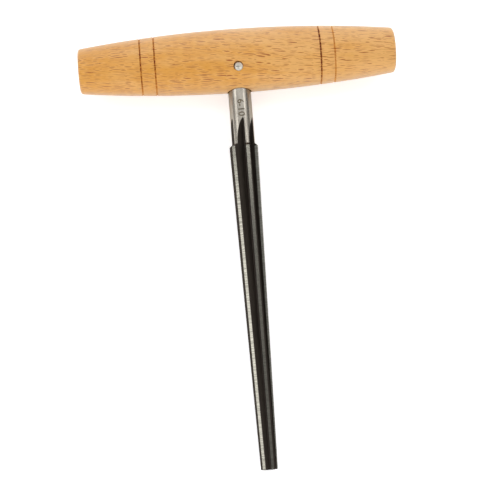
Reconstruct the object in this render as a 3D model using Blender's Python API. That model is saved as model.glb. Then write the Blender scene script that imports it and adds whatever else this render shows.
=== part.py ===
"""Peg reamer: a turned beech T-handle, a tapered six-flute reamer and the pin that locks the two together.

Metres, +Z up. The tool lies as it is laid down on a bench: the handle along X, the blade toward -Y, with the
handle's belly and the blade's tip on the plane z = 0. The pieces are modelled on the tool's own axes, which
cross where the blade's axis meets the handle's: X along the handle, Z up the blade's axis and -Y to the side
that faces up on the bench. An empty lays these axes down.
"""

import math

import bmesh
import bpy
from mathutils import Vector

# Handle: a barrel turned to one long arc, with two burnt lines toward each end
HANDLE_LENGTH = 0.1105
HANDLE_BELLY_DIA = 0.0224
HANDLE_END_DIA = 0.0156
HANDLE_EDGE_ROUND = 0.0012
BURNT_LINE_FROM_MIDDLE = 0.0287
BURNT_LINE_SPACING = 0.0049
BURNT_LINE_WIDTH = 0.0006
BURNT_LINE_DEPTH = 0.0003

# Reamer: tang, shank, shoulder and tapered blade, ground from one bar
TANG_PAST_AXIS = 0.0055
TANG_CHAMFER = 0.0006
SHANK_DIA = 0.008
SHANK_SHOWING = 0.0184
SHOULDER_RUN = 0.0009
BLADE_LENGTH = 0.1129
BLADE_TOP_DIA = 0.0103
BLADE_TIP_DIA = 0.006
TIP_CHAMFER = 0.0003

# Flutes: straight V grooves cut parallel to the axis by a round-nosed disc, which lifts out over the shank
FLUTE_COUNT = 6
FLUTE_SHIFT_DEG = 2.0
FLUTE_ANGLE_DEG = 60.0
FLUTE_ROOT = 0.00175
FLUTE_NOSE_RADIUS = 0.0004
RAKE_AHEAD = 0.00063
RUN_OUT_RADIUS = 0.0213
RELIEF_DEG = 3.0
GRINDING_STOCK = 0.00005

# Cross pin, through handle and tang
PIN_DIA = 0.003
PIN_BELOW_AXIS = 0.0039
PIN_RECESS = 0.0004
PIN_CHAMFER = 0.0003

# Clearance round the tang and round the pin
FIT_GAP = 0.0003

# How far cutters stand clear of what they cut
CUTTER_MARGIN = 0.001

# Facets
HANDLE_STEPS = 56
STEEL_STEPS = 72
HOLE_STEPS = 32
BELLY_STRETCH = 0.006
ROUND_STEPS = 5
RUN_OUT_STEPS = 8
LAND_STEPS = 6
SHARP_ANGLE_DEG = 25.0

# Radii and places that follow from the sizes above
BELLY_RADIUS = HANDLE_BELLY_DIA / 2
SHANK_RADIUS = SHANK_DIA / 2
BLADE_TOP_RADIUS = BLADE_TOP_DIA / 2
BLADE_TIP_RADIUS = BLADE_TIP_DIA / 2
SHOULDER_Z = -(BELLY_RADIUS + SHANK_SHOWING)
TIP_Z = SHOULDER_Z - BLADE_LENGTH
FLUTE_ANGLE = math.radians(FLUTE_ANGLE_DEG)


# Modelling helpers


def clear_scene():
    for left_over in list(bpy.data.objects):
        bpy.data.objects.remove(left_over, do_unlink=True)


def add_object(name, mesh):
    piece = bpy.data.objects.new(name, mesh)
    bpy.context.scene.collection.objects.link(piece)
    return piece


def turned(name, profile, steps):
    """A solid of revolution about Z. The profile's (radius, z) points run from top to bottom."""
    mesh = bpy.data.meshes.new(name)
    points = [(radius, 0.0, z) for radius, z in profile]
    mesh.from_pydata(points, [(i, i + 1) for i in range(len(points) - 1)], [])
    piece = add_object(name, mesh)
    screw = piece.modifiers.new("turn", "SCREW")
    screw.angle = math.tau
    screw.steps = steps
    screw.render_steps = steps
    screw.use_merge_vertices = True
    screw.merge_threshold = 0.00001
    return piece


def rod_profile(radius, top, bottom, chamfer=0.0):
    """The profile of a round bar between two heights, with an equal chamfer at both ends."""
    if chamfer == 0.0:
        return [(0.0, top), (radius, top), (radius, bottom), (0.0, bottom)]
    face = radius - chamfer
    return [
        (0.0, top),
        (face, top),
        (radius, top - chamfer),
        (radius, bottom + chamfer),
        (face, bottom),
        (0.0, bottom),
    ]


def lofted(name, sections):
    """A closed solid skinned over sections, which are rings with the same number of points."""
    builder = bmesh.new()
    rings = [[builder.verts.new(point) for point in section] for section in sections]
    for ring, following in zip(rings, rings[1:]):
        for i in range(len(ring)):
            corner = i - 1
            builder.faces.new((ring[corner], ring[i], following[i], following[corner]))
    builder.faces.new(rings[0])
    builder.faces.new(rings[-1])
    bmesh.ops.recalc_face_normals(builder, faces=builder.faces)
    mesh = bpy.data.meshes.new(name)
    builder.to_mesh(mesh)
    builder.free()
    return add_object(name, mesh)


def cut(piece, cutter):
    """Takes the cutter's shape out of the piece."""
    cutter.hide_render = True
    cutter.display_type = "WIRE"
    boolean = piece.modifiers.new(cutter.name, "BOOLEAN")
    boolean.operation = "DIFFERENCE"
    boolean.solver = "EXACT"
    boolean.object = cutter


def finish(piece, material):
    """Applies the modifiers, removes the cutters, and shades the piece smooth between its sharp edges."""
    cutters = [step.object for step in piece.modifiers if step.type == "BOOLEAN"]
    graph = bpy.context.evaluated_depsgraph_get()
    mesh = bpy.data.meshes.new_from_object(piece.evaluated_get(graph))
    mesh.name = piece.name
    piece.modifiers.clear()
    piece.data = mesh
    mesh.shade_smooth()
    mesh.set_sharp_from_angle(angle=math.radians(SHARP_ANGLE_DEG))
    mesh.materials.clear()
    mesh.materials.append(material)
    for cutter in cutters:
        bpy.data.objects.remove(cutter, do_unlink=True)


def make_material(name, colour, roughness, metallic):
    material = bpy.data.materials.new(name)
    material.use_nodes = True
    shader = material.node_tree.nodes["Principled BSDF"]
    shader.inputs["Base Color"].default_value = (*colour, 1.0)
    shader.inputs["Roughness"].default_value = roughness
    shader.inputs["Metallic"].default_value = metallic
    return material


# Handle


def belly_arc():
    """The radius of the arc that the handle is turned to, from the swell between its ends and its middle."""
    half = HANDLE_LENGTH / 2
    swell = (HANDLE_BELLY_DIA - HANDLE_END_DIA) / 2
    return (half**2 + swell**2) / (2 * swell)


def belly_at(along):
    """The handle's radius at a distance from its middle."""
    arc = belly_arc()
    return BELLY_RADIUS - arc + math.sqrt(arc**2 - along**2)


def end_round():
    """The points of the rounded end edge, from the flat end face to the belly."""
    arc = belly_arc()
    centre_along = HANDLE_LENGTH / 2 - HANDLE_EDGE_ROUND
    from_arc_centre = math.sqrt((arc - HANDLE_EDGE_ROUND) ** 2 - centre_along**2)
    centre_radius = BELLY_RADIUS - arc + from_arc_centre
    last_turn = math.atan2(centre_along, from_arc_centre)
    points = []
    for i in range(ROUND_STEPS + 1):
        turn = math.pi / 2 + (last_turn - math.pi / 2) * i / ROUND_STEPS
        radius = centre_radius + HANDLE_EDGE_ROUND * math.cos(turn)
        points.append((radius, centre_along + HANDLE_EDGE_ROUND * math.sin(turn)))
    return points


def belly_between(start, end):
    """Points on the belly after one distance from the middle, up to and with another."""
    count = max(1, round(abs(end - start) / BELLY_STRETCH))
    places = [start + (end - start) * (i + 1) / count for i in range(count)]
    return [(belly_at(along), along) for along in places]


def half_handle_profile():
    """The profile from the top end face to the middle, with the two burnt lines as small V grooves."""
    points = end_round()
    along = points[-1][1]
    outer_line = BURNT_LINE_FROM_MIDDLE + BURNT_LINE_SPACING
    for line in (outer_line, BURNT_LINE_FROM_MIDDLE):
        points += belly_between(along, line + BURNT_LINE_WIDTH / 2)
        points.append((belly_at(line) - BURNT_LINE_DEPTH, line))
        along = line - BURNT_LINE_WIDTH / 2
        points.append((belly_at(along), along))
    return points + belly_between(along, 0.0)


def make_handle(wood):
    top_half = [(0.0, HANDLE_LENGTH / 2)] + half_handle_profile()
    bottom_half = [(radius, -along) for radius, along in reversed(top_half[:-1])]
    handle = turned("handle", top_half + bottom_half, HANDLE_STEPS)
    handle.rotation_euler = (0.0, math.pi / 2, 0.0)
    bore = rod_profile(SHANK_RADIUS + FIT_GAP, TANG_PAST_AXIS + FIT_GAP, -BELLY_RADIUS - CUTTER_MARGIN)
    cut(handle, turned("tang_bore", bore, STEEL_STEPS))
    cut(handle, pin_hole("handle_pin_hole"))
    finish(handle, wood)
    return handle


# Reamer


def blade_radius(z):
    """The radius of the cone that the cutting edges lie on."""
    taper = (BLADE_TOP_RADIUS - BLADE_TIP_RADIUS) / BLADE_LENGTH
    return BLADE_TIP_RADIUS + taper * (z - TIP_Z)


def blank_profile():
    """The turned blank, which is a little oversize along the blade for grinding the lands."""
    blade_top = SHOULDER_Z - SHOULDER_RUN
    blade_end = TIP_Z + TIP_CHAMFER
    return [
        (0.0, TANG_PAST_AXIS),
        (SHANK_RADIUS - TANG_CHAMFER, TANG_PAST_AXIS),
        (SHANK_RADIUS, TANG_PAST_AXIS - TANG_CHAMFER),
        (SHANK_RADIUS, SHOULDER_Z),
        (blade_radius(blade_top) + GRINDING_STOCK, blade_top),
        (blade_radius(blade_end) + GRINDING_STOCK, blade_end),
        (blade_radius(TIP_Z) + GRINDING_STOCK - TIP_CHAMFER, TIP_Z),
        (0.0, TIP_Z),
    ]


def flute_turns():
    """The angle of each flute about the axis. Every third stands nearer the one before, against chatter."""
    pitch = math.tau / FLUTE_COUNT
    shift = math.radians(FLUTE_SHIFT_DEG)
    return [pitch * i - (shift if i % 3 == 2 else 0.0) for i in range(FLUTE_COUNT)]


def around_axis(section, turn, z):
    """Section points (sideways, outward) placed at a turn from the front, -Y, toward +X."""
    outward = Vector((math.sin(turn), -math.cos(turn), 0.0))
    sideways = Vector((math.cos(turn), math.sin(turn), 0.0))
    return [sideways * side + outward * out + Vector((0.0, 0.0, z)) for side, out in section]


def flute_section(lift):
    """The disc's V: the rake wall, the round nose and the sloping back wall, raised by a lift."""
    root = FLUTE_ROOT + lift
    top = BLADE_TOP_RADIUS + CUTTER_MARGIN + lift
    nose_out = FLUTE_NOSE_RADIUS / math.tan(FLUTE_ANGLE / 2)
    points = [(RAKE_AHEAD, top)]
    for i in range(ROUND_STEPS + 1):
        turn = (math.pi - FLUTE_ANGLE) * i / ROUND_STEPS
        side = RAKE_AHEAD - FLUTE_NOSE_RADIUS * (1 - math.cos(turn))
        points.append((side, root + nose_out - FLUTE_NOSE_RADIUS * math.sin(turn)))
    points.append((RAKE_AHEAD - (top - root) * math.tan(FLUTE_ANGLE), top))
    return points


def flute_cutter(name, turn):
    """One flute's path: parallel to the axis up to the shoulder, then out along the disc's own arc."""
    nose_out = FLUTE_NOSE_RADIUS / math.tan(FLUTE_ANGLE / 2)
    floor = FLUTE_ROOT + nose_out - FLUTE_NOSE_RADIUS
    last_lift = SHANK_RADIUS - floor + CUTTER_MARGIN
    last_swing = math.acos(1 - last_lift / RUN_OUT_RADIUS)
    sections = [around_axis(flute_section(0.0), turn, TIP_Z - CUTTER_MARGIN)]
    for i in range(RUN_OUT_STEPS + 1):
        swing = last_swing * i / RUN_OUT_STEPS
        lift = RUN_OUT_RADIUS * (1 - math.cos(swing))
        z = SHOULDER_Z + RUN_OUT_RADIUS * math.sin(swing)
        sections.append(around_axis(flute_section(lift), turn, z))
    return lofted(name, sections)


def land_angle(radius):
    """The angle about the axis from a cutting edge to its heel, where the next flute's back wall comes out."""
    wall_from_axis = RAKE_AHEAD * math.cos(FLUTE_ANGLE) + FLUTE_ROOT * math.sin(FLUTE_ANGLE)
    heel = math.tau / FLUTE_COUNT + math.asin(wall_from_axis / radius) - FLUTE_ANGLE
    return heel - math.asin(RAKE_AHEAD / radius)


def relief_section(z):
    """A slab whose underside is the flat land: the chord from edge to heel, tipped in by the relief."""
    radius = blade_radius(z)
    edge = Vector((RAKE_AHEAD, math.sqrt(radius**2 - RAKE_AHEAD**2)))
    fall = math.asin(RAKE_AHEAD / radius) + land_angle(radius) / 2 + math.radians(RELIEF_DEG)
    along = Vector((math.cos(fall), -math.sin(fall)))
    outward = Vector((math.sin(fall), math.cos(fall)))
    start = edge - along * RAKE_AHEAD / 2
    end = edge + along * radius * math.pi / FLUTE_COUNT
    rise = outward * CUTTER_MARGIN
    return [tuple(corner) for corner in (start, end, end + rise, start + rise)]


def relief_cutter(name, turn):
    """The slab that grinds one land, along the whole blade."""
    bottom = TIP_Z - CUTTER_MARGIN
    top = SHOULDER_Z + CUTTER_MARGIN
    heights = [bottom + (top - bottom) * i / LAND_STEPS for i in range(LAND_STEPS + 1)]
    return lofted(name, [around_axis(relief_section(z), turn, z) for z in heights])


def make_reamer(steel):
    reamer = turned("reamer", blank_profile(), STEEL_STEPS)
    for i, turn in enumerate(flute_turns()):
        cut(reamer, relief_cutter(f"relief_{i + 1}", turn))
    for i, turn in enumerate(flute_turns()):
        cut(reamer, flute_cutter(f"flute_{i + 1}", turn))
    cut(reamer, pin_hole("tang_pin_hole"))
    finish(reamer, steel)
    return reamer


# Cross pin


def place_across(piece):
    """Turns a piece made along Z to lie from front to back, through the tang."""
    piece.rotation_euler = (math.pi / 2, 0.0, 0.0)
    piece.location = (0.0, 0.0, -PIN_BELOW_AXIS)


def pin_hole(name):
    reach = BELLY_RADIUS + CUTTER_MARGIN
    hole = turned(name, rod_profile(PIN_DIA / 2 + FIT_GAP, reach, -reach), HOLE_STEPS)
    place_across(hole)
    return hole


def make_cross_pin(steel):
    half = math.sqrt(BELLY_RADIUS**2 - PIN_BELOW_AXIS**2) - PIN_RECESS
    pin = turned("cross_pin", rod_profile(PIN_DIA / 2, half, -half, PIN_CHAMFER), HOLE_STEPS)
    place_across(pin)
    finish(pin, steel)
    return pin


# The whole tool, laid down


def lay_down(pieces):
    """Parents the pieces to an empty that leans them until belly and tip both touch z = 0."""
    reach = -TIP_Z - TIP_CHAMFER
    tip_edge = math.sqrt(BLADE_TIP_RADIUS**2 - RAKE_AHEAD**2)
    lean = math.asin(BELLY_RADIUS / math.hypot(reach, tip_edge)) - math.atan2(tip_edge, reach)
    front = -TIP_Z * math.cos(lean) + tip_edge * math.sin(lean)
    axes = bpy.data.objects.new("tool_axes", None)
    bpy.context.scene.collection.objects.link(axes)
    axes.empty_display_size = BELLY_RADIUS
    axes.location = (0.0, (front - BELLY_RADIUS) / 2, BELLY_RADIUS)
    axes.rotation_euler = (lean - math.pi / 2, 0.0, 0.0)
    for piece in pieces:
        piece.parent = axes


def main():
    clear_scene()
    wood = make_material("oiled_beech", (0.72, 0.37, 0.11), 0.5, 0.0)
    tool_steel = make_material("tool_steel", (0.42, 0.40, 0.37), 0.3, 1.0)
    pin_steel = make_material("pin_steel", (0.55, 0.55, 0.54), 0.35, 1.0)
    lay_down([make_handle(wood), make_reamer(tool_steel), make_cross_pin(pin_steel)])


main()
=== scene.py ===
"""Peg reamer: the looks of the tool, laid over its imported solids.

Metres, +Z up, in the solids' own frame. The shapes are worked out on the tool's axes, which cross where the
blade's axis meets the handle's: X along the handle, Z up the blade's axis and -Y to the side that faces up on
the bench. They are then laid down as the solids are.
"""

import math

import bmesh
import bpy
import numpy as np
from bpy.props import FloatProperty, FloatVectorProperty, IntProperty, PointerProperty, StringProperty
from bpy.types import NodeSocket, Operator, Panel, PropertyGroup
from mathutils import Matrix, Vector


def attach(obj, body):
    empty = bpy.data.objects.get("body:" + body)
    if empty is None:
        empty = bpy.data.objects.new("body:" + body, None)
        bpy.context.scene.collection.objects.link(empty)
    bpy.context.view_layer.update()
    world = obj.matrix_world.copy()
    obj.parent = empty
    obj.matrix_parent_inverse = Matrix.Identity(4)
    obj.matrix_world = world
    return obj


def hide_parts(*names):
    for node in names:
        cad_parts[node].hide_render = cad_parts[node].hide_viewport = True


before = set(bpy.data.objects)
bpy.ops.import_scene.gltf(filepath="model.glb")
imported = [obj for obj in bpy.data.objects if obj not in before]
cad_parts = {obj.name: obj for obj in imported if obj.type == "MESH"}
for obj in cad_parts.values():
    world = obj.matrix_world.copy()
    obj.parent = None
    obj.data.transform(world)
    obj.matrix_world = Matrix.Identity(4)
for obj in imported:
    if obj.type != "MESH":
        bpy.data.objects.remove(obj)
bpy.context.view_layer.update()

bl_info = {
    "name": "Peg Reamer",
    "version": (1, 0, 0),
    "blender": (4, 5, 0),
    "location": "View3D > Sidebar > Peg Reamer",
    "description": "A tapered hand reamer for peg holes, with a turned beech handle",
    "category": "Add Mesh",
}

# Points nearer than this are one point
MERGE = 1e-7

# How far the flute's walls are followed for each whole step of their parameter
WALL_REACH = 0.01

# Edges that turn more than this are left sharp
SHARP_ANGLE = math.radians(28.0)

# Points round the handle, the tang's bore, the pin's hole and the pin
ROUND_HANDLE = 160
ROUND_BORE = 160
ROUND_HOLE = 96
ROUND_PIN = 120

# How far cutters stand clear of what they cut
CUTTER_MARGIN = 0.001

# The pin's hole in the wood: clearance, and shift along the handle and towards its axis
HOLE_GAP = 0.00018
HOLE_SHIFT = (-0.00011, 0.00012)

# The burnt lines: strength from left to right, spread in line widths, and the share left on the sides, where
# the fall is painted sheen
LINE_STRENGTH = (1.06, 0.97, 1.70, 0.47)
LINE_SPREAD = 0.44
PAINTED_SHEEN_SIDE_SHARE = 0.35

# Steps along a flute: back wall, nose, black part of the rake wall, ground strip
FLUTE_STEPS = (9, 12, 6, 3)

# Steps along a land's ground part, and along the whole land with its black heel
GROUND_STEPS = 9
LAND_STEPS = 12

# Rings that close each end of the reamer, and halvings that find where a flute meets it
CAP_RINGS = 6
HALVINGS = 45

# Slices across the numbers, so that they bend round the shank
MARK_SLICES = 13

# The ray flecks: the cell that holds one, which is as long as the longest, and the greatest thickness
LARGE_FLECKS = {"cell": (0.0050, 0.00078), "thickest": 0.00044}
SMALL_FLECKS = {"cell": (0.0028, 0.00046), "thickest": 0.00026}

# What the lamps face
SHANK_MIDDLE = (0.0, 0.045, 0.014)
TOOL_MIDDLE = (0.0, 0.03, 0.01)

# Place, width, height and aim of each lamp, under the name of its power among the settings
LAMPS = {
    "softbox_left": ((-0.833, 0.300, 0.681), 0.3808, 0.4284, SHANK_MIDDLE),
    "softbox_right": ((0.760, 0.326, 0.765), 0.34, 0.578, SHANK_MIDDLE),
    "band": ((0.0, 0.345, 1.0), 2.0, 0.31, (0.0, 0.345, 0.0)),
    "low_strip": ((-0.90, -0.18, 0.21), 0.64, 0.39, (0.0, -0.02, 0.01)),
    "fill": ((0.0, -0.12, 1.6), 2.4, 2.4, TOOL_MIDDLE),
    "side_front": ((0.0, -1.24, 0.6), 1.8, 0.7, TOOL_MIDDLE),
    "side_back": ((0.0, 1.30, 0.6), 1.8, 0.7, TOOL_MIDDLE),
}

# Lamps that gloss doesn't mirror
UNMIRRORED = ("fill", "side_front")

# Brightness of the studio by the sine of the elevation
SKY = ((0.0, 0.42), (0.16, 0.36), (0.42, 0.27), (0.82, 0.27), (0.92, 0.64), (1.0, 0.88))

# The finishes of handle and reamer, in the order of their material slots
OILED, BURNT = range(2)
SHANK, LAND, RAKE, BLACK, MARK = range(5)


# Settings


def setting(kind, **fixed):
    """A maker of settings of one kind, each with its own name, description and default."""

    def made(name, description, default):
        return kind(name=name, description=description, default=default, **fixed)

    return made


length = setting(FloatProperty, min=0.0, precision=5, unit="LENGTH")
angle = setting(FloatProperty, subtype="ANGLE")
ratio = setting(FloatProperty, min=0.1, max=0.99, subtype="FACTOR")
number = setting(IntProperty, min=3, max=12)
watts = setting(FloatProperty, min=0.0, unit="POWER")
point = setting(FloatVectorProperty, subtype="TRANSLATION", unit="LENGTH")
euler = setting(FloatVectorProperty, subtype="EULER")
colour = setting(FloatVectorProperty, min=0.0, max=1.0, subtype="COLOR")


class ToolSizes(PropertyGroup):
    """The tool's sizes, as in its solids."""

    handle_length: length("Handle length", "From end face to end face", 0.1105)
    belly_dia: length("Belly diameter", "The handle's diameter at its middle", 0.0224)
    end_dia: length("End diameter", "The handle's diameter at its ends", 0.0156)
    edge_round: length("Edge round", "Radius of the handle's rounded end edges", 0.0012)
    line_from_middle: length("Burnt line", "From the handle's middle to the inner burnt line", 0.0287)
    line_spacing: length("Line spacing", "Between the two burnt lines of an end", 0.0049)
    line_width: length("Line width", "Width of a burnt line's groove", 0.0006)
    line_depth: length("Line depth", "Depth of a burnt line's groove", 0.0003)
    tang_past_axis: length("Tang", "How far the tang reaches past the handle's axis", 0.0055)
    tang_chamfer: length("Tang chamfer", "Chamfer at the tang's end", 0.0006)
    shank_dia: length("Shank diameter", "Diameter of shank and tang", 0.008)
    shank_showing: length("Shank showing", "From the handle's belly to the shoulder", 0.0184)
    shoulder_run: length("Shoulder", "Length of the shoulder's chamfer", 0.0009)
    blade_length: length("Blade length", "From the shoulder to the tip", 0.1129)
    blade_top_dia: length("Blade top", "Diameter over the edges at the shoulder", 0.0103)
    blade_tip_dia: length("Blade tip", "Diameter over the edges at the tip", 0.006)
    tip_chamfer: length("Tip chamfer", "Chamfer at the tip", 0.0003)
    flute_count: number("Flutes", "Number of flutes and edges", 6)
    flute_shift: angle("Flute shift", "How much nearer every third flute stands", math.radians(2.0))
    flute_angle: angle("Flute angle", "Between a flute's rake wall and its back wall", math.radians(60.0))
    flute_root: length("Flute root", "From the axis to where a flute's walls would meet", 0.00175)
    nose_radius: length("Flute nose", "Radius of a flute's rounded floor", 0.0004)
    rake_ahead: length("Rake", "How far ahead of the axis the rake walls stand", 0.00063)
    run_out_radius: length("Run-out radius", "Radius on which a flute lifts out over the shank", 0.0213)
    relief: angle("Relief", "How far a land tips in behind its edge", math.radians(3.0))
    grinding_stock: length("Grinding stock", "How far the blank stands over the cutting edges", 0.00005)
    rake_ground_top: length("Ground rake, top", "Ground strip on a rake wall at the shoulder", 0.0012)
    rake_ground_tip: length("Ground rake, tip", "Ground strip on a rake wall at the tip", 0.0004)
    land_ground_top: ratio("Ground land, top", "Share of a land that is ground at the shoulder", 0.97)
    land_ground_tip: ratio("Ground land, tip", "Share of a land that is ground at the tip", 0.74)
    pin_dia: length("Pin diameter", "Diameter of the cross pin", 0.003)
    pin_below_axis: length("Pin place", "How far the pin lies below the handle's axis", 0.0039)
    pin_recess: length("Pin recess", "How far the pin's ends lie below the wood", 0.0004)
    pin_chamfer: length("Pin chamfer", "Chamfer at the pin's ends", 0.0003)
    fit_gap: length("Fit gap", "Clearance round tang and pin", 0.0003)
    mark: StringProperty(name="Size mark", description="Plain numbers engraved on the shank", default="6-10")
    mark_top: length("Mark place", "From the handle's axis down to the mark's first number", 0.0143)
    mark_length: length("Mark length", "Length of the mark along the shank", 0.0059)
    mark_height: length("Mark height", "Height of the numbers round the shank", 0.0023)
    mark_depth: length("Mark depth", "Depth of the engraving", 0.0001)


class ToolColours(PropertyGroup):
    """The colours of wood and steel."""

    wood: colour("Wood", "Beech between its figure", (0.670, 0.308, 0.046))
    wood_pale: colour("Pale wood", "Beech in its paler bands", (0.738, 0.396, 0.118))
    fleck: colour("Flecks", "The short ray flecks", (0.31, 0.062, 0.000))
    fleck_border: colour("Fleck border", "The pale wood beside each fleck", (0.735, 0.388, 0.104))
    scorched: colour("Scorched wood", "The sides of the burnt lines", (0.33, 0.055, 0.008))
    burnt: colour("Burnt lines", "The middle of the burnt lines", (0.10, 0.010, 0.003))
    shank: colour("Shank", "Polished steel", (0.39, 0.360, 0.312))
    land: colour("Lands", "Ground steel", (0.422, 0.405, 0.346))
    rake: colour("Rake faces", "Dull ground steel", (0.36, 0.355, 0.31))
    black: colour("Flutes", "Blackened steel", (0.0088, 0.0070, 0.0056))
    mark: colour("Size mark", "What has settled in the engraving", (0.085, 0.064, 0.034))
    pin: colour("Pin", "Drawn steel", (0.78, 0.735, 0.635))


class StageSettings(PropertyGroup):
    """Floor, light and camera."""

    floor_size: length("Floor", "Width of the floor", 6.0)
    floor: colour("Floor colour", "Pale paper", (0.86, 0.86, 0.86))
    softbox_left: watts("Left softbox", "Power of the softbox on the left", 1.1266)
    softbox_right: watts("Right softbox", "Power of the softbox on the right", 1.032)
    band: watts("Band", "Power of the wide band overhead", 2.2)
    low_strip: watts("Low strip", "Power of the low strip on the left", 1.30)
    fill: watts("Fill", "Power of the broad light overhead", 0.45)
    side_front: watts("Front light", "Power of the broad light in front", 13.905)
    side_back: watts("Back light", "Power of the broad light behind", 11.33)
    lens: FloatProperty(name="Lens", description="Focal length", default=114.34, min=1.0, unit="CAMERA")
    camera_place: point("Camera", "Where the camera stands", (-0.024457, -0.07814, 0.552311))
    camera_turn: euler("Camera turn", "How the camera is turned", (0.1436668, -0.0319821, -0.0809629))


# Places that follow from the sizes


def shoulder_height(sizes):
    return -(sizes.belly_dia / 2 + sizes.shank_showing)


def blade_top_height(sizes):
    return shoulder_height(sizes) - sizes.shoulder_run


def tip_height(sizes):
    return shoulder_height(sizes) - sizes.blade_length


def tip_edge_out(sizes):
    """How far below the axis the tip's lowest cutting edge lies."""
    return math.sqrt((sizes.blade_tip_dia / 2) ** 2 - sizes.rake_ahead**2)


def lean_of(sizes):
    """How far the tool leans when belly and tip both touch the bench."""
    reach = -tip_height(sizes) - sizes.tip_chamfer
    tip_edge = tip_edge_out(sizes)
    return math.asin(sizes.belly_dia / 2 / math.hypot(reach, tip_edge)) - math.atan2(tip_edge, reach)


def turn_of(sizes):
    """The turn that lays the tool's axes down, as three angles."""
    return lean_of(sizes) - math.pi / 2, 0.0, 0.0


def on_bench(points, sizes):
    """Points on the tool's axes, turned about X by the lean less a right angle and set down on the bench."""
    lean = lean_of(sizes)
    front = -tip_height(sizes) * math.cos(lean) + tip_edge_out(sizes) * math.sin(lean)
    x, y, z = np.moveaxis(points, -1, 0)
    across = math.sin(lean) * y + math.cos(lean) * z + (front - sizes.belly_dia / 2) / 2
    up = math.sin(lean) * z - math.cos(lean) * y + sizes.belly_dia / 2
    return np.stack((x, across, up), axis=-1)


# Objects from grids of points


def add_object(name, data, *materials):
    made = bpy.data.objects.new(name, data)
    bpy.context.scene.collection.objects.link(made)
    for material in materials:
        data.materials.append(material)
    return made


def add_skin(name, points, sizes, *materials, finish=None):
    """A closed skin over a grid of points whose columns run round and meet, laid on the bench.

    Each cell is a face that looks along row direction times column direction. Points that coincide are one,
    so a cell with a shrunken side is a triangle, and a cell shrunk to a line is left out.
    """
    rows, columns = points.shape[:2]
    flat = on_bench(points, sizes).reshape(-1, 3)
    keys = np.round(flat / MERGE).astype(np.int64)
    _, first, place = np.unique(keys, axis=0, return_index=True, return_inverse=True)
    place = place.reshape(rows, columns)
    beside = np.roll(place, -1, axis=1)
    corners = np.stack((place[:-1], place[1:], beside[1:], beside[:-1]), axis=-1).reshape(-1, 4)
    repeated = corners == np.roll(corners, -1, axis=1)
    whole = repeated.sum(axis=1) == 0
    shrunken = repeated.sum(axis=1) == 1
    triangles = corners[shrunken][~repeated[shrunken]].reshape(-1, 3)
    mesh = bpy.data.meshes.new(name)
    mesh.from_pydata(flat[first].tolist(), [], corners[whole].tolist() + triangles.tolist())
    if finish is not None:
        cells = finish.reshape(-1)
        mesh.polygons.foreach_set("material_index", np.concatenate((cells[whole], cells[shrunken])))
    mesh.update()
    return add_object(name, mesh, *materials)


def vertex_places(mesh):
    points = np.empty(len(mesh.vertices) * 3, np.float32)
    mesh.vertices.foreach_get("co", points)
    return points.reshape(-1, 3)


def turned(profile, steps):
    """A profile of (radius, height), from top to bottom, carried round Z: each point becomes a ring."""
    radius, height = np.array(profile).T
    turn = np.arange(steps) * math.tau / steps
    x = radius[:, None] * np.sin(turn)
    y = -radius[:, None] * np.cos(turn)
    z = np.broadcast_to(height[:, None], x.shape)
    return np.stack((x, y, z), axis=-1)


def across_handle(points, sizes):
    """Points made round Z, laid along Y from front to back at the cross pin's place."""
    x, y, z = np.moveaxis(points, -1, 0)
    return np.stack((x, -z, y - sizes.pin_below_axis), axis=-1)


def carve(piece, cutters):
    """Takes the cutters' shapes out of the piece's mesh. A cut face takes its cutter's material."""
    for cutter in cutters:
        boolean = piece.modifiers.new(cutter.name, "BOOLEAN")
        boolean.operation = "DIFFERENCE"
        boolean.solver = "EXACT"
        boolean.material_mode = "TRANSFER"
        boolean.object = cutter
    graph = bpy.context.evaluated_depsgraph_get()
    mesh = bpy.data.meshes.new_from_object(piece.evaluated_get(graph))
    piece.modifiers.clear()
    blank = piece.data
    piece.data = mesh
    mesh.name = piece.name
    bpy.data.meshes.remove(blank)
    for cutter in cutters:
        shape = cutter.data
        bpy.data.objects.remove(cutter)
        bpy.data.meshes.remove(shape)


def finish_piece(piece, node):
    """Shades the piece, puts it on the tool in its solid's place and hides that solid."""
    if len(piece.data.polygons) == 0:
        raise RuntimeError(f"{piece.name} came out empty")
    piece.data.shade_smooth()
    piece.data.set_sharp_from_angle(angle=SHARP_ANGLE)
    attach(piece, "root")
    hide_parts(node)


# Handle


def belly_arc(sizes):
    """The radius of the arc that the handle is turned to, from half its length and the swell of its belly."""
    half = sizes.handle_length / 2
    swell = (sizes.belly_dia - sizes.end_dia) / 2
    return (half**2 + swell**2) / (2 * swell)


def line_places(sizes):
    """The burnt lines' places along the handle, from left to right."""
    inner = sizes.line_from_middle
    outer = inner + sizes.line_spacing
    return np.array((-outer, -inner, inner, outer))


def belly_at(along, sizes):
    """The turned radius: the belly's, less the arc's fall, less a raised-cosine groove at each line."""
    arc = belly_arc(sizes)
    off_line = np.abs(along[:, None] - line_places(sizes)) / (sizes.line_width / 2)
    groove = (0.5 + 0.5 * np.cos(np.pi * np.clip(off_line, 0.0, 1.0))).sum(axis=1)
    return sizes.belly_dia / 2 - arc + np.sqrt(arc**2 - along**2) - sizes.line_depth * groove


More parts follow.
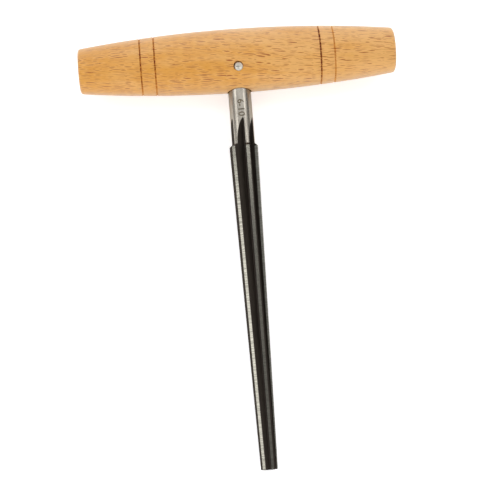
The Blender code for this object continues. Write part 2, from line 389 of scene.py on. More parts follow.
def handle_outline(sizes):
    """(along, radius) from the middle of one end face to the middle of the other.

    The belly is an arc. A smaller circle, tangent to it and to the end face, rounds each end edge.
    """
    arc = belly_arc(sizes)
    edge = sizes.edge_round
    centre_along = sizes.handle_length / 2 - edge
    from_arc_centre = math.sqrt((arc - edge) ** 2 - centre_along**2)
    centre_radius = sizes.belly_dia / 2 - arc + from_arc_centre
    turn = np.linspace(math.atan2(centre_along, from_arc_centre), math.pi / 2, 14)
    round_along = centre_along + edge * np.sin(turn)
    round_radius = centre_radius + edge * np.cos(turn)
    belly_along = np.linspace(0.0, round_along[0], 56)[:-1]
    across_line = np.linspace(-1.0, 1.0, 21) * sizes.line_width
    lines = line_places(sizes)[2:]
    belly_along = np.sort(np.concatenate((belly_along, (lines[:, None] + across_line).ravel())))
    belly_radius = belly_at(belly_along, sizes)
    face_radius = np.linspace(centre_radius, 0.0, 18)[1:]
    face_along = np.full(face_radius.shape, sizes.handle_length / 2)
    along = np.concatenate((belly_along, round_along, face_along))
    radius = np.concatenate((belly_radius, round_radius, face_radius))
    return np.concatenate((-along[::-1], along[1:])), np.concatenate((radius[::-1], radius[1:]))


def handle_surface(sizes):
    """The outline carried round X, and the finish of every cell.

    Height and width are the radius times the turn's cosine and sine. A cell is burnt where it lies within
    half a line's width of a line.
    """
    along, radius = handle_outline(sizes)
    turn = np.arange(ROUND_HANDLE) * math.tau / ROUND_HANDLE
    y = radius[:, None] * np.sin(turn)
    z = radius[:, None] * np.cos(turn)
    x = np.broadcast_to(along[:, None], y.shape)
    off_line = np.abs((along[:-1, None] + along[1:, None]) / 2 - line_places(sizes)).min(axis=1)
    finish = np.where(off_line < sizes.line_width / 2, BURNT, OILED)
    return np.stack((x, y, z), axis=-1), np.repeat(finish[:, None], ROUND_HANDLE, axis=1)


def tang_bore(sizes):
    """The blind bore for the tang, a turned cylinder from below the belly to past the handle's axis."""
    radius = sizes.shank_dia / 2 + sizes.fit_gap
    top = sizes.tang_past_axis + sizes.fit_gap
    bottom = -sizes.belly_dia / 2 - CUTTER_MARGIN
    return turned([(0.0, top), (radius, top), (radius, bottom), (0.0, bottom)], ROUND_BORE)


def pin_hole(sizes, gap, shift=(0.0, 0.0)):
    """The pin's hole, a turned cylinder from front to back, which may stand a little off the pin."""
    radius = sizes.pin_dia / 2 + gap
    reach = sizes.belly_dia / 2 + CUTTER_MARGIN
    hole = turned([(0.0, reach), (radius, reach), (radius, -reach), (0.0, -reach)], ROUND_HOLE)
    hole[..., :2] += shift
    return across_handle(hole, sizes)


def mark_burnt_lines(piece, sizes):
    """Stores how burnt each point is: a bell over each line's width, with the line's own strength.

    The strength falls towards the handle's sides to a share of itself with the squared cosine of the turn
    from the top.
    This fall is painted sheen that pales the lines where the barrel turns away; the burn itself is even.
    """
    mesh = piece.data
    along, across, up = (vertex_places(mesh) - on_bench(np.zeros(3), sizes)).T
    off_line = (along[:, None] - line_places(sizes)) / (sizes.line_width * LINE_SPREAD)
    # Painted sheen: the lines' strength fades towards the handle's sides
    painted_sheen_fall = PAINTED_SHEEN_SIDE_SHARE + (1.0 - PAINTED_SHEEN_SIDE_SHARE) * up**2 / (across**2 + up**2 + MERGE**2)
    burnt = painted_sheen_fall * (np.array(LINE_STRENGTH) * np.exp(-(off_line**2))).sum(axis=1)
    mesh.attributes.new("burnt", "FLOAT", "POINT").data.foreach_set("value", burnt.astype(np.float32))


# Reamer


def blade_radius(height, sizes):
    """The radius of the cone that the cutting edges lie on."""
    tip = sizes.blade_tip_dia / 2
    taper = (sizes.blade_top_dia / 2 - tip) / sizes.blade_length
    return tip + taper * (height - tip_height(sizes))


def nose_out(lift, sizes):
    """How far the middle of a flute's nose stands from the axis, raised by a lift."""
    return sizes.flute_root + lift + sizes.nose_radius / math.tan(sizes.flute_angle / 2)


def run_out_top(sizes):
    """The height at which a flute's floor comes out of the shank, on the grinding disc's arc."""
    floor = math.hypot(sizes.rake_ahead - sizes.nose_radius, nose_out(0.0, sizes)) - sizes.nose_radius
    lift = sizes.shank_dia / 2 - floor
    return shoulder_height(sizes) + math.sqrt(lift * (2 * sizes.run_out_radius - lift))


def blank_outline(sizes):
    """(height, radius) of the turned blank at every station from the tang's end to the tip.

    Stations crowd where the flutes run out, and stand wide where the tool is straight.
    """
    top = sizes.tang_past_axis
    below_chamfer = top - sizes.tang_chamfer
    out = run_out_top(sizes)
    above_out = out + 0.0004
    shoulder = shoulder_height(sizes)
    blade_top = blade_top_height(sizes)
    below_shoulder = blade_top - 0.00005
    tip = tip_height(sizes)
    blade_end = tip + sizes.tip_chamfer
    heights = np.concatenate((
        (top, below_chamfer),
        np.linspace(below_chamfer, above_out, 30)[1:],
        np.linspace(above_out, out, 4)[1:],
        out - (out - shoulder) * np.linspace(0.0, 1.0, 80)[1:] ** 1.7,
        np.linspace(shoulder, blade_top, 10)[1:],
        (below_shoulder,),
        np.linspace(below_shoulder, blade_end, 72)[1:],
        np.linspace(blade_end, tip, 4)[1:],
    ))
    knots = (tip, blade_end, blade_top, shoulder, below_chamfer, top)
    blade = blade_radius(np.array(knots[:3]), sizes) + sizes.grinding_stock
    shank = np.full(3, sizes.shank_dia / 2)
    blade[0] -= sizes.tip_chamfer
    shank[-1] -= sizes.tang_chamfer
    return heights, np.interp(heights, knots, np.concatenate((blade, shank)))


def flute_curve(w, lift, sizes):
    """(side, out) of the V that the grinding disc leaves, raised by a lift.

    Below 0 the parameter climbs the rake wall, from 0 to 1 it follows the round nose, and past 1 it climbs
    the back wall.
    """
    nose_turn = np.clip(w, 0.0, 1.0) * (math.pi - sizes.flute_angle)
    up_rake = np.clip(-w, 0.0, None) * WALL_REACH
    up_back = np.clip(w - 1.0, 0.0, None) * WALL_REACH
    side = sizes.rake_ahead - sizes.nose_radius * (1.0 - np.cos(nose_turn))
    out = nose_out(lift, sizes) - sizes.nose_radius * np.sin(nose_turn) + up_rake
    return side - up_back * math.sin(sizes.flute_angle), out + up_back * math.cos(sizes.flute_angle)


def crossing(clear_of, near, far, *given):
    """Where a distance that grows from near to far passes zero, found by halving the span."""
    far = np.full(near.shape, far)
    for _ in range(HALVINGS):
        middle = (near + far) / 2
        short = clear_of(middle, *given) < 0.0
        near = np.where(short, middle, near)
        far = np.where(short, far, middle)
    return near


def flute_turns(sizes):
    """The angle of each flute about the axis. Every third stands nearer the one before, against chatter."""
    flute = np.arange(sizes.flute_count)
    return flute * math.tau / sizes.flute_count - np.where(flute % 3 == 2, sizes.flute_shift, 0.0)


def tapered(height, top, tip, sizes):
    """A measure that changes evenly down the blade, and above it stays as at its top."""
    down_blade = (blade_top_height(sizes) - height) / sizes.blade_length
    return top + (tip - top) * down_blade.clip(0.0)


def land_flat(height, sizes):
    """(distance, angle) of the flat that a land is ground to, from the axis and from its flute's own turn."""
    radius = blade_radius(height, sizes)
    wall = sizes.rake_ahead * math.cos(sizes.flute_angle) + sizes.flute_root * math.sin(sizes.flute_angle)
    to_edge = np.arcsin(sizes.rake_ahead / radius)
    land_angle = math.tau / sizes.flute_count + np.arcsin(wall / radius) - sizes.flute_angle - to_edge
    fall = to_edge + land_angle / 2 + sizes.relief
    flat = sizes.rake_ahead * np.sin(fall) + np.sqrt(radius**2 - sizes.rake_ahead**2) * np.cos(fall)
    return flat, fall


def flute_sections(height, blank, sizes):
    """(radius, angle) along every flute at each station, from the heel before it to its own cutting edge.

    These are where the V's back wall and rake wall cross the ground blank. Over the shank the V lifts along
    the disc's arc, so the crossings draw together and the flute runs out.
    """
    run = np.clip((height - shoulder_height(sizes)) / sizes.run_out_radius, 0.0, 0.9)
    lift = sizes.run_out_radius * (1.0 - np.sqrt(1.0 - run**2))
    flat, fall = land_flat(height, sizes)
    cone_or_blank = np.minimum(blade_radius(height, sizes), blank)

    def clear_of_edge(w):
        return np.hypot(*flute_curve(w, lift, sizes)) - cone_or_blank

    def clear_of_land(w, pitch):
        side, out = flute_curve(w, lift, sizes)
        off_normal = np.arctan2(side, out) + pitch - fall
        return np.hypot(side, out) - np.minimum(flat / np.cos(off_normal), blank)

    floor = np.arctan2(nose_out(lift, sizes), sizes.nose_radius - sizes.rake_ahead)
    floor = floor / (math.pi - sizes.flute_angle)
    edge = crossing(clear_of_edge, floor, -1.0)
    ground = tapered(height, sizes.rake_ground_top, sizes.rake_ground_tip, sizes)
    ground = np.where(height < blade_top_height(sizes), ground, 0.0)
    strip = np.clip(edge + ground / WALL_REACH, edge, np.maximum(edge, 0.0))
    turns = flute_turns(sizes)
    sections = []
    for turn, before in zip(turns, np.roll(turns, 1)):
        heel = crossing(clear_of_land, floor, 2.0, (turn - before) % math.tau)
        breaks = (heel, np.clip(1.0, edge, heel), np.clip(0.0, edge, heel), strip, edge)
        w = [
            start[:, None] + (end - start)[:, None] * np.arange(count) / count
            for start, end, count in zip(breaks, breaks[1:], FLUTE_STEPS)
        ]
        side, out = flute_curve(np.hstack(w + [edge[:, None]]), lift[:, None], sizes)
        sections.append((np.minimum(np.hypot(side, out), blank[:, None]), turn + np.arctan2(side, out)))
    return sections


def reamer_finish(heights, columns, sizes):
    """The finish of every cell: ground lands and strips along the edges, a polished shank, and else black."""
    middle = (heights[:-1] + heights[1:])[:, None] / 2
    below = np.where(middle > blade_top_height(sizes), BLACK, LAND)
    outer = np.where(middle > shoulder_height(sizes), SHANK, below)
    outer = np.where(middle > heights[-1] + sizes.tip_chamfer / 2, outer, BLACK)
    strip_step, edge_step = sum(FLUTE_STEPS[:3]), sum(FLUTE_STEPS)
    step = np.arange(columns) % (edge_step + LAND_STEPS)
    on_strip = (step >= strip_step) & (step < edge_step)
    on_heel = step >= edge_step + GROUND_STEPS
    finish = np.where(on_strip & (outer == LAND), RAKE, np.where(on_heel & (outer == LAND), BLACK, outer))
    return np.where(step < strip_step, BLACK, finish)


def reamer_surface(sizes):
    """The rings of the reamer from tang to tip, and the finish of every cell.

    At each station the section is the turned blank, ground to a flat land behind each edge and cut by the
    flutes. A land is straight: its radius is the flat's distance from the axis over the cosine of the angle
    from the flat's normal.
    """
    height, blank = blank_outline(sizes)
    flat, fall = land_flat(height, sizes)
    flutes = flute_sections(height, blank, sizes)
    breaks = (0, GROUND_STEPS, LAND_STEPS)
    ground = tapered(height, sizes.land_ground_top, sizes.land_ground_tip, sizes)
    share = np.stack([np.interp(np.arange(1, LAND_STEPS), breaks, (0.0, part, 1.0)) for part in ground])
    radii, angles = [], []
    for i, turn in enumerate(flute_turns(sizes)):
        flute_radius, flute_angle = flutes[i]
        following = flutes[(i + 1) % len(flutes)][1][:, :1]
        start = flute_angle[:, -1:]
        spread = start + ((following - start) % math.tau) * share
        off_normal = spread - turn - fall[:, None]
        radii += [flute_radius, np.minimum(flat[:, None] / np.cos(off_normal), blank[:, None])]
        angles += [flute_angle, spread]
    radii, angles = np.hstack(radii), np.hstack(angles)
    sections = np.stack((radii * np.sin(angles), -radii * np.cos(angles)), axis=-1)
    inward = np.linspace(0.0, 1.0, CAP_RINGS + 1)[:-1, None, None]
    sections = np.concatenate((sections[:1] * inward, sections, sections[-1:] * inward[::-1]))
    heights = np.concatenate((np.full(CAP_RINGS, height[0]), height, np.full(CAP_RINGS, height[-1])))
    up = np.broadcast_to(heights[:, None, None], sections.shape[:2] + (1,))
    return np.concatenate((sections, up), axis=-1), reamer_finish(heights, radii.shape[1], sizes)


def size_mark(sizes):
    """The numbers as a cutter: flat type stretched to size, then wrapped round the shank.

    The type's baseline runs down the shank, its upright round it by height over radius, and its thickness
    from the engraving's floor to as far above the steel.
    """
    curve = bpy.data.curves.new("size_mark", "FONT")
    curve.body = sizes.mark
    curve.extrude = 0.5
    curve.resolution_u = 5
    curve.offset = 0.006
    flat_type = add_object("size_mark", curve)
    graph = bpy.context.evaluated_depsgraph_get()
    mesh = bpy.data.meshes.new_from_object(flat_type.evaluated_get(graph))
    bpy.data.objects.remove(flat_type)
    bpy.data.curves.remove(curve)
    builder = bmesh.new()
    builder.from_mesh(mesh)
    bmesh.ops.remove_doubles(builder, verts=builder.verts, dist=1e-5)
    low = np.min([vertex.co.xy for vertex in builder.verts], axis=0)
    high = np.max([vertex.co.xy for vertex in builder.verts], axis=0)
    for upright in np.linspace(low[1], high[1], MARK_SLICES + 1)[1:-1]:
        whole = [*builder.verts, *builder.edges, *builder.faces]
        bmesh.ops.bisect_plane(builder, geom=whole, plane_co=(0.0, upright, 0.0), plane_no=(0.0, 1.0, 0.0))
    bmesh.ops.recalc_face_normals(builder, faces=builder.faces)
    builder.to_mesh(mesh)
    builder.free()
    along, upright, thick = vertex_places(mesh).T.astype(float)
    along = (along - low[0]) / (high[0] - low[0]) * sizes.mark_length
    upright = ((upright - low[1]) / (high[1] - low[1]) - 0.5) * sizes.mark_height
    radius = sizes.shank_dia / 2 + thick * 2 * sizes.mark_depth
    turn = upright / (sizes.shank_dia / 2)
    wrapped = np.stack((radius * np.sin(turn), -radius * np.cos(turn), -sizes.mark_top - along), axis=-1)
    mesh.vertices.foreach_set("co", on_bench(wrapped, sizes).astype(np.float32).ravel())
    mesh.update()
    return mesh


# Cross pin


def pin_surface(sizes):
    """The pin round Z: a chamfered bar whose end faces are a shallow dome less a chisel mark.

    On an end face the height falls with the square of the distance from the middle, and the mark takes off a
    narrow bell across one direction, faded out along the other.
    """
    dome = 0.00005
    mark_depth, mark_width, mark_length = 0.00011, 0.00011, 0.00062
    mark_x, mark_y, mark_slope = -0.0002, -0.00008, 0.1
    half = math.sqrt((sizes.belly_dia / 2) ** 2 - sizes.pin_below_axis**2) - sizes.pin_recess
    face = sizes.pin_dia / 2 - sizes.pin_chamfer
    rings = np.linspace(0.0, face, 22)
    chamfer = np.linspace(0.0, math.pi / 2, 8)[1:]
    corner_radius = face + sizes.pin_chamfer * np.sin(chamfer)
    corner_height = half - sizes.pin_chamfer * (1.0 - np.cos(chamfer))
    radius = np.concatenate((rings, corner_radius))
    height = np.concatenate((np.full(rings.shape, half), corner_height))
    radius = np.concatenate((radius, radius[::-1]))
    height = np.concatenate((height, -height[::-1]))
    grid = turned(np.stack((radius, height), axis=-1), ROUND_PIN)
    x, y, z = np.moveaxis(grid, -1, 0)
    from_middle = np.hypot(x, y) / face
    on_face = np.clip(1.0 - from_middle**2, 0.0, 1.0)
    across_mark = (y - mark_y + mark_slope * x) / mark_width
    mark = np.exp(-(across_mark**2) - ((x - mark_x) / mark_length) ** 4)
    grid[..., 2] = z + np.sign(z) * (dome * on_face - mark_depth * mark * np.sqrt(on_face))
    return grid


# Materials


def feed(tree, node, inputs):
    """Fills a node's inputs. An input is a value or another node's output."""
    for key, value in inputs.items():
        if isinstance(value, NodeSocket):
            tree.links.new(value, node.inputs[key])
        else:
            node.inputs[key].default_value = value


def add(tree, kind, inputs=None, **settings):
    """A node with its settings and inputs."""
    node = tree.nodes.new("ShaderNode" + kind)
    for key, value in settings.items():
        setattr(node, key, value)
    feed(tree, node, inputs or {})
    return node


def dressed(material, inputs):
    """The material with these inputs on its shader."""
    feed(material.node_tree, material.node_tree.nodes["Principled BSDF"], inputs)
    return material


def new_material(name, metallic, roughness):
    """A material, its node tree, and the place on the object that its patterns follow."""
    material = bpy.data.materials.new(name)
    material.use_nodes = True
    dressed(material, {"Metallic": metallic, "Roughness": roughness})
    tree = material.node_tree
    return material, tree, add(tree, "TexCoord").outputs["Object"]


def times(channels, factor):
    """A colour with all its channels times a factor."""
    return tuple(channel * factor for channel in channels)


def stretched(tree, place, lengths, turn=(0.0, 0.0, 0.0), shift=(0.0, 0.0, 0.0)):
    """Coordinates that count in these lengths along X, Y and Z, on turned axes."""
    inputs = {"Vector": place, "Location": shift, "Rotation": turn, "Scale": lengths}
    return add(tree, "Mapping", inputs, vector_type="TEXTURE").outputs["Vector"]


def noise(tree, place, lengths, detail=2.0, roughness=0.5, **axes):
    """Noise that changes over these lengths, on axes that may be turned and shifted."""
    vector = stretched(tree, place, lengths, **axes)
    inputs = {"Vector": vector, "Scale": 1.0, "Detail": detail, "Roughness": roughness}
    return add(tree, "TexNoise", inputs).outputs["Fac"]


def ranged(tree, value, low, high, to_low=0.0, to_high=1.0):
    """A value carried smoothly from one range to another, and held at its ends."""
    inputs = {"Value": value, "From Min": low, "From Max": high, "To Min": to_low, "To Max": to_high}
    return add(tree, "MapRange", inputs, interpolation_type="SMOOTHSTEP").outputs["Result"]


def calc(tree, operation, *values):
    return add(tree, "Math", dict(enumerate(values)), operation=operation).outputs["Value"]


def mixed(tree, factor, first, second):
    """Two colours, mixed by a factor. The node takes them as its inputs 6 and 7."""
    inputs = {0: factor}
    for socket, value in ((6, first), (7, second)):
        inputs[socket] = value if isinstance(value, NodeSocket) else (*value, 1.0)
    return add(tree, "Mix", inputs, data_type="RGBA").outputs[2]


def bump(tree, height, strength, distance):
    inputs = {"Height": height, "Strength": strength, "Distance": distance}
    return add(tree, "Bump", inputs).outputs["Normal"]


def round_handle(tree, place, sizes):
    """Coordinates that follow the barrel: along the handle, round it by angle times radius, and nothing.

    The angle counts from the top, so the two ends of the count meet on the underside. The grain runs a little
    aslant, so the way round also grows with the way along, and wanders slowly.
    """
    centre = tuple(on_bench(np.zeros(3), sizes))
    from_axis = stretched(tree, place, (1.0, 1.0, 1.0), shift=centre)
    apart = add(tree, "SeparateXYZ", {"Vector": from_axis}).outputs
    turn = calc(tree, "ARCTAN2", apart["Y"], apart["Z"])
    wander = noise(tree, place, (0.030, 0.012, 0.02))
    aslant = calc(tree, "MULTIPLY_ADD", apart["X"], 0.09, calc(tree, "MULTIPLY", wander, 0.0026))
    mean_radius = sizes.belly_dia * 0.47
    across = calc(tree, "MULTIPLY_ADD", turn, mean_radius, aslant)
    return add(tree, "CombineXYZ", {"X": apart["X"], "Y": across}).outputs["Vector"]


def flecks(tree, vector, cell, thickest):
    """Thin dashes with pointed ends, one to a cell, each with its own length, thickness and strength.

    With the way from the cell's middle counted in half lengths along and half thicknesses across, a dash is
    where one, less the square of the way along, less the way across, is above nothing. Just outside it lies a
    soft border. Both are given, each times the dash's strength.
    """
    spread = stretched(tree, vector, (*cell, 1.0))
    inputs = {"Vector": spread, "Scale": 1.0, "Randomness": 0.9}
    middle = add(tree, "TexVoronoi", inputs, voronoi_dimensions="2D", feature="F1").outputs
    chance = add(tree, "SeparateColor", {"Color": middle["Color"]}).outputs
    off = add(tree, "VectorMath", {0: spread, 1: middle["Position"]}, operation="SUBTRACT")
    way = add(tree, "SeparateXYZ", {"Vector": off.outputs["Vector"]}).outputs
    thickest = thickest / cell[1]
    half_length = ranged(tree, chance["Red"], 0.0, 1.0, 0.18, 0.5)
    half_thickness = ranged(tree, chance["Green"], 0.0, 1.0, thickest * 0.28, thickest * 0.5)
    along = calc(tree, "POWER", calc(tree, "ABSOLUTE", calc(tree, "DIVIDE", way["X"], half_length)), 2.0)
    across = calc(tree, "ABSOLUTE", calc(tree, "DIVIDE", way["Y"], half_thickness))
    inside = calc(tree, "SUBTRACT", calc(tree, "SUBTRACT", 1.0, along), across)
    strength = ranged(tree, calc(tree, "POWER", chance["Blue"], 1.2), 0.0, 1.0, 0.16, 1.0)
    dash = calc(tree, "MULTIPLY", ranged(tree, inside, 0.0, 0.4), strength)
    return dash, calc(tree, "MULTIPLY", ranged(tree, inside, -2.6, -0.3), strength)


def beech(name, colours, sizes, gloss, sheen):
    """Beech: pale bands and fine pores in the wood itself, and two sizes of ray flecks round the barrel.

    The wood is a little paler towards the right end. The end faces show rays as fine lines across instead of
    flecks. The burnt lines follow the piece's own attribute.
    """
    material, tree, place = new_material(name, 0.0, 0.5)
    barrel = round_handle(tree, place, sizes)
    bands = noise(tree, barrel, (0.040, 0.0032, 1.0), 3.0, 0.55)
    cloud = noise(tree, place, (0.022, 0.011, 0.016))
    along = add(tree, "SeparateXYZ", {"Vector": place}).outputs["X"]
    cloud = calc(tree, "MULTIPLY_ADD", along, 5.5, cloud)
    pale = ranged(tree, calc(tree, "ADD", bands, cloud), 0.75, 1.25)
    tone = mixed(tree, pale, colours.wood, colours.wood_pale)
    pores = noise(tree, barrel, (0.0060, 0.00024, 1.0), 3.0, 0.65)
    tone = mixed(tree, ranged(tree, pores, 0.48, 0.74, 0.0, 0.22), tone, colours.fleck)
    large, border = flecks(tree, barrel, **LARGE_FLECKS)
    small, _ = flecks(tree, barrel, **SMALL_FLECKS)
    tone = mixed(tree, calc(tree, "MULTIPLY", border, 0.7), tone, colours.fleck_border)
    fleck = calc(tree, "MAXIMUM", large, calc(tree, "MULTIPLY", small, 0.7))
    half = sizes.handle_length / 2
    end_face = ranged(tree, calc(tree, "ABSOLUTE", along), half - 0.0002, half - 0.00005)
    rays = ranged(tree, noise(tree, place, (0.004, 0.00022, 0.006), 3.0, 0.6), 0.52, 0.72)
    fleck = add(tree, "Mix", {0: end_face, 2: fleck, 3: rays}, data_type="FLOAT").outputs[0]
    tone = mixed(tree, fleck, tone, colours.fleck)
    tone = mixed(tree, calc(tree, "MULTIPLY", end_face, 0.22), tone, colours.fleck)
    # The burnt attribute holds the lines' burn, faded towards the sides by painted sheen
    burnt = add(tree, "Attribute", attribute_name="burnt", attribute_type="GEOMETRY").outputs["Fac"]
    patches = noise(tree, place, (0.0009, 0.0005, 0.0005), 3.0, 0.65, shift=(0.003, 0.001, 0.002))
    char = calc(tree, "MULTIPLY", burnt, ranged(tree, patches, 0.38, 0.60, 0.26, 1.30))
    tone = mixed(tree, char, tone, colours.scorched)
    polish = noise(tree, barrel, (0.010, 0.0012, 1.0), 3.0)
    relief = calc(tree, "MULTIPLY_ADD", fleck, 0.6, calc(tree, "MULTIPLY", pores, 0.5))
    relief = calc(tree, "SUBTRACT", 1.0, relief)
    return dressed(material, {
        "Base Color": mixed(tree, ranged(tree, char, 0.40, 1.15), tone, colours.burnt),
        "Roughness": ranged(tree, polish, 0.3, 0.7, 0.44, 0.58),
        "Normal": bump(tree, relief, 0.2, 0.00004),
        "Specular IOR Level": gloss,
        "Sheen Weight": sheen,
        "Sheen Roughness": 0.45,
        "Sheen Tint": (1.0, 0.95, 0.88, 1.0),
    })


def polished_shank(colours, turn):
    """Turned and polished steel: fine rings round the shank and faint handling marks."""
    material, tree, place = new_material("polished_shank", 1.0, 0.2)
    rings = noise(tree, place, (0.012, 0.012, 0.00009), 3.0, 0.6, turn=turn)
    smudge = noise(tree, place, (0.0026, 0.0026, 0.0042), 3.0, 0.6, turn=turn)
    dull = times(colours.shank, 0.86)
    tone = mixed(tree, ranged(tree, smudge, 0.35, 0.70), colours.shank, dull)
    return dressed(material, {
        "Base Color": mixed(tree, ranged(tree, rings, 0.35, 0.75, 0.0, 0.3), tone, dull),
        "Roughness": ranged(tree, smudge, 0.3, 0.7, 0.21, 0.26),
        "Normal": bump(tree, rings, 0.05, 0.000003),
        "Specular Tint": (0.64, 0.60, 0.55, 1.0),
    })


def ground_steel(name, steel, turn, metallic, roughness):
    """Ground steel: close wheel marks across the face, a little aslant, over a slow change of tone."""
    material, tree, place = new_material(name, metallic, roughness)
    aslant = (turn[0], turn[1] + 0.30, turn[2])
    marks = noise(tree, place, (0.004, 0.004, 0.00030), 3.0, 0.65, turn=aslant)
    slow = noise(tree, place, (0.002, 0.002, 0.007), turn=turn)
    dull = times(steel, 0.58)
    tone = mixed(tree, ranged(tree, marks, 0.38, 0.66), steel, dull)
    return dressed(material, {
        "Base Color": mixed(tree, ranged(tree, slow, 0.40, 0.75, 0.0, 0.25), tone, dull),
        "Roughness": ranged(tree, marks, 0.3, 0.7, roughness - 0.04, roughness + 0.06),
        "Normal": bump(tree, marks, 0.15, 0.00001),
    })


def blackened_flute(colours, turn):
    """Steel black from hardening: drawn out cutter marks along the flutes and a fine mottled scale."""
    material, tree, place = new_material("blackened_flute", 0.0, 0.42)
    drawn = noise(tree, place, (0.00022, 0.00022, 0.018), 3.0, 0.6, turn=turn)
    scale = noise(tree, place, (0.0007, 0.0007, 0.0011), 4.0, 0.65, turn=turn)
    worn = times(colours.black, 3.2)
    tone = mixed(tree, ranged(tree, drawn, 0.42, 0.72), colours.black, worn)
    relief = calc(tree, "MULTIPLY_ADD", drawn, 0.7, calc(tree, "MULTIPLY", scale, 0.5))
    return dressed(material, {
        "Base Color": mixed(tree, ranged(tree, scale, 0.50, 0.80, 0.0, 0.6), tone, worn),
        "Roughness": ranged(tree, scale, 0.3, 0.7, 0.38, 0.54),
        "Normal": bump(tree, relief, 0.25, 0.00003),
        "Specular Tint": (1.0, 0.84, 0.72, 1.0),
    })


def engraved_mark(colours):
    """The floor of the engraving, dark with old oil."""
    material, tree, place = new_material("engraved_mark", 0.0, 0.6)
    grime = noise(tree, place, (0.0003, 0.0003, 0.0003), 3.0)
    return dressed(material, {
        "Base Color": mixed(tree, ranged(tree, grime, 0.4, 0.7), colours.mark, times(colours.mark, 2.2)),
        "Roughness": ranged(tree, grime, 0.3, 0.7, 0.5, 0.7),
    })


def drawn_pin(colours, sizes, turn):
    """Drawn steel with cut ends: fine saw marks, a soft tarnish and painted shade in the chisel mark."""
    material, tree, place = new_material("drawn_pin", 0.4, 0.38)
    saw = noise(tree, place, (0.0015, 0.00008, 0.0015), 3.0, 0.6, turn=(0.0, 0.0, 0.12))
    tarnish = noise(tree, place, (0.0009, 0.0009, 0.0009), 3.0, shift=(0.0004, 0.0, 0.0))
    dull = times(colours.pin, 0.70)
    tone = mixed(tree, ranged(tree, tarnish, 0.42, 0.66), colours.pin, dull)
    tone = mixed(tree, ranged(tree, saw, 0.45, 0.75, 0.0, 0.4), tone, dull)
    # Painted shade: the chisel mark's groove is drawn darker, for the shade of walls too fine to cast it
    middle = tuple(on_bench(np.array((-0.0004, 0.0, -sizes.pin_below_axis - 0.0001)), sizes))
    off_mark = stretched(tree, place, (0.0009, 1.0, 0.00034), turn, middle)
    off_mark = add(tree, "VectorMath", {0: off_mark}, operation="LENGTH").outputs["Value"]
    painted_mark_shade = ranged(tree, off_mark, 0.3, 1.2, 0.9, 0.0)
    return dressed(material, {
        "Base Color": mixed(tree, painted_mark_shade, tone, times(colours.pin, 0.34)),
        "Roughness": ranged(tree, saw, 0.3, 0.7, 0.34, 0.48),
        "Normal": bump(tree, saw, 0.25, 0.00002),
    })


def pale_paper(stage):
    """The floor: matt paper that camera, reflections and glass see brighter, so that it reads white."""
    material, tree, place = new_material("pale_paper", 0.0, 0.9)
    tooth = noise(tree, place, (0.004, 0.004, 0.004), 3.0)
    rays = add(tree, "LightPath")
    seen = calc(tree, "MAXIMUM", rays.outputs["Is Camera Ray"], rays.outputs["Is Glossy Ray"])
    seen = calc(tree, "MAXIMUM", seen, rays.outputs["Is Transmission Ray"])
    return dressed(material, {
        "Base Color": mixed(tree, tooth, stage.floor, times(stage.floor, 0.985)),
        "Specular IOR Level": 0.0,
        "Emission Color": (1.0, 1.0, 1.0, 1.0),
        "Emission Strength": calc(tree, "MULTIPLY", seen, 0.51),
    })


# Stage


def add_lamp(name, place, width, height, aim, power):
    """A rectangular lamp that faces a point. The camera doesn't see it."""
    light = bpy.data.lights.new(name, "AREA")
    light.shape = "RECTANGLE"
    light.size = width
    light.size_y = height
    light.energy = power
    lamp = add_object(name, light)
    lamp.location = place
    lamp.rotation_mode = "QUATERNION"
    lamp.rotation_quaternion = (Vector(aim) - lamp.location).to_track_quat("-Z", "Y")
    lamp.visible_camera = False
    lamp.visible_glossy = name not in UNMIRRORED


def studio_world():
    """A pale sweep round the horizon, dimmer above it and brightest overhead."""
    world = bpy.data.worlds.new("studio")
    world.use_nodes = True
    tree = world.node_tree
    place = add(tree, "TexCoord").outputs["Generated"]
    up = add(tree, "SeparateXYZ", {"Vector": place}).outputs["Z"]
    ramp = add(tree, "ValToRGB", {"Fac": up})
    for position, _ in SKY[1:-1]:
        ramp.color_ramp.elements.new(position)
    for element, (position, level) in zip(ramp.color_ramp.elements, SKY):
        element.position = position
        element.color = (level, level, level, 1.0)
    feed(tree, tree.nodes["Background"], {"Color": ramp.outputs["Color"]})
    return world


def floor_mesh(size):
    """A square sheet, a hair below the tool so that it clears what rests on it."""
    half = size / 2
    down = -0.00005
    corners = [(-half, -half, down), (half, -half, down), (half, half, down), (-half, half, down)]
    mesh = bpy.data.meshes.new("floor")
    mesh.from_pydata(corners, [], [(0, 1, 2, 3)])
    return mesh


# Operators


class PEGREAMER_OT_handle(Operator):
    """Turns the beech handle and bores it for tang and pin"""

    bl_idname = "peg_reamer.handle"
    bl_label = "Handle"

    def execute(self, context):
        sizes = context.scene.peg_reamer_sizes
        colours = context.scene.peg_reamer_colours
        oiled = beech("oiled_beech", colours, sizes, gloss=0.5, sheen=0.8)
        dry = beech("burnt_beech", colours, sizes, gloss=0.05, sheen=0.14)
        surface, finish = handle_surface(sizes)
        handle = add_skin("beech_handle", surface, sizes, oiled, dry, finish=finish)
        bore = add_skin("bore", tang_bore(sizes), sizes, dry)
        hole = add_skin("hole", pin_hole(sizes, HOLE_GAP, HOLE_SHIFT), sizes, dry)
        carve(handle, (bore, hole))
        mark_burnt_lines(handle, sizes)
        finish_piece(handle, "handle")
        return {"FINISHED"}


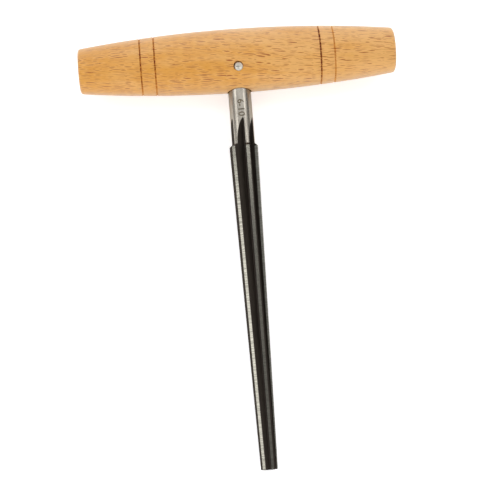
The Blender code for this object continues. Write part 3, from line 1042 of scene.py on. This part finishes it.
class PEGREAMER_OT_reamer(Operator):
    """Grinds the fluted reamer, drills its tang for the pin and engraves its size"""

    bl_idname = "peg_reamer.reamer"
    bl_label = "Reamer"

    def execute(self, context):
        sizes = context.scene.peg_reamer_sizes
        colours = context.scene.peg_reamer_colours
        turn = turn_of(sizes)
        finishes = (
            polished_shank(colours, turn),
            ground_steel("ground_land", colours.land, turn, metallic=1.0, roughness=0.18),
            ground_steel("ground_rake", colours.rake, turn, metallic=0.4, roughness=0.45),
            blackened_flute(colours, turn),
            engraved_mark(colours),
        )
        surface, finish = reamer_surface(sizes)
        reamer = add_skin("fluted_reamer", surface, sizes, *finishes, finish=finish)
        hole = add_skin("hole", pin_hole(sizes, sizes.fit_gap), sizes, finishes[SHANK])
        mark = add_object("mark", size_mark(sizes), finishes[MARK])
        carve(reamer, (hole, mark))
        finish_piece(reamer, "reamer")
        return {"FINISHED"}


class PEGREAMER_OT_cross_pin(Operator):
    """Cuts the pin that locks the tang in the handle"""

    bl_idname = "peg_reamer.cross_pin"
    bl_label = "Cross pin"

    def execute(self, context):
        sizes = context.scene.peg_reamer_sizes
        steel = drawn_pin(context.scene.peg_reamer_colours, sizes, turn_of(sizes))
        pin = add_skin("locking_pin", across_handle(pin_surface(sizes), sizes), sizes, steel)
        finish_piece(pin, "cross_pin")
        return {"FINISHED"}


class PEGREAMER_OT_stage(Operator):
    """Lays the floor, hangs the lamps and sets up the camera"""

    bl_idname = "peg_reamer.stage"
    bl_label = "Stage"

    def execute(self, context):
        stage = context.scene.peg_reamer_stage
        floor = add_object("floor", floor_mesh(stage.floor_size), pale_paper(stage))
        for name, lamp in LAMPS.items():
            add_lamp(name, *lamp, getattr(stage, name))
        context.scene.world = studio_world()
        lens = bpy.data.cameras.new("camera")
        lens.sensor_width = 36.0
        lens.lens = stage.lens
        lens.clip_start = 0.01
        lens.clip_end = 20.0
        camera = add_object("camera", lens)
        camera.location = stage.camera_place
        camera.rotation_euler = stage.camera_turn
        context.scene.camera = camera
        context.scene.view_settings.view_transform = "Standard"
        return {"FINISHED"}


class PEGREAMER_PT_sidebar(Panel):
    """Sizes, colours and steps of the peg reamer"""

    bl_label = "Peg Reamer"
    bl_idname = "PEGREAMER_PT_sidebar"
    bl_space_type = "VIEW_3D"
    bl_region_type = "UI"
    bl_category = "Peg Reamer"

    def draw(self, context):
        for operator in OPERATORS:
            self.layout.operator(operator.bl_idname)
        scene = context.scene
        for group in (scene.peg_reamer_sizes, scene.peg_reamer_colours, scene.peg_reamer_stage):
            column = self.layout.column()
            for name in group.__annotations__:
                column.prop(group, name)


OPERATORS = (PEGREAMER_OT_handle, PEGREAMER_OT_reamer, PEGREAMER_OT_cross_pin, PEGREAMER_OT_stage)
GROUPS = {"peg_reamer_sizes": ToolSizes, "peg_reamer_colours": ToolColours, "peg_reamer_stage": StageSettings}
CLASSES = (*GROUPS.values(), *OPERATORS, PEGREAMER_PT_sidebar)


def register():
    for made in CLASSES:
        bpy.utils.register_class(made)
    for name, group in GROUPS.items():
        setattr(bpy.types.Scene, name, PointerProperty(type=group))


def unregister():
    for name in GROUPS:
        delattr(bpy.types.Scene, name)
    for made in reversed(CLASSES):
        bpy.utils.unregister_class(made)


def main():
    register()
    bpy.ops.peg_reamer.handle()
    bpy.ops.peg_reamer.reamer()
    bpy.ops.peg_reamer.cross_pin()
    bpy.ops.peg_reamer.stage()


if __name__ == "__main__":
    main()
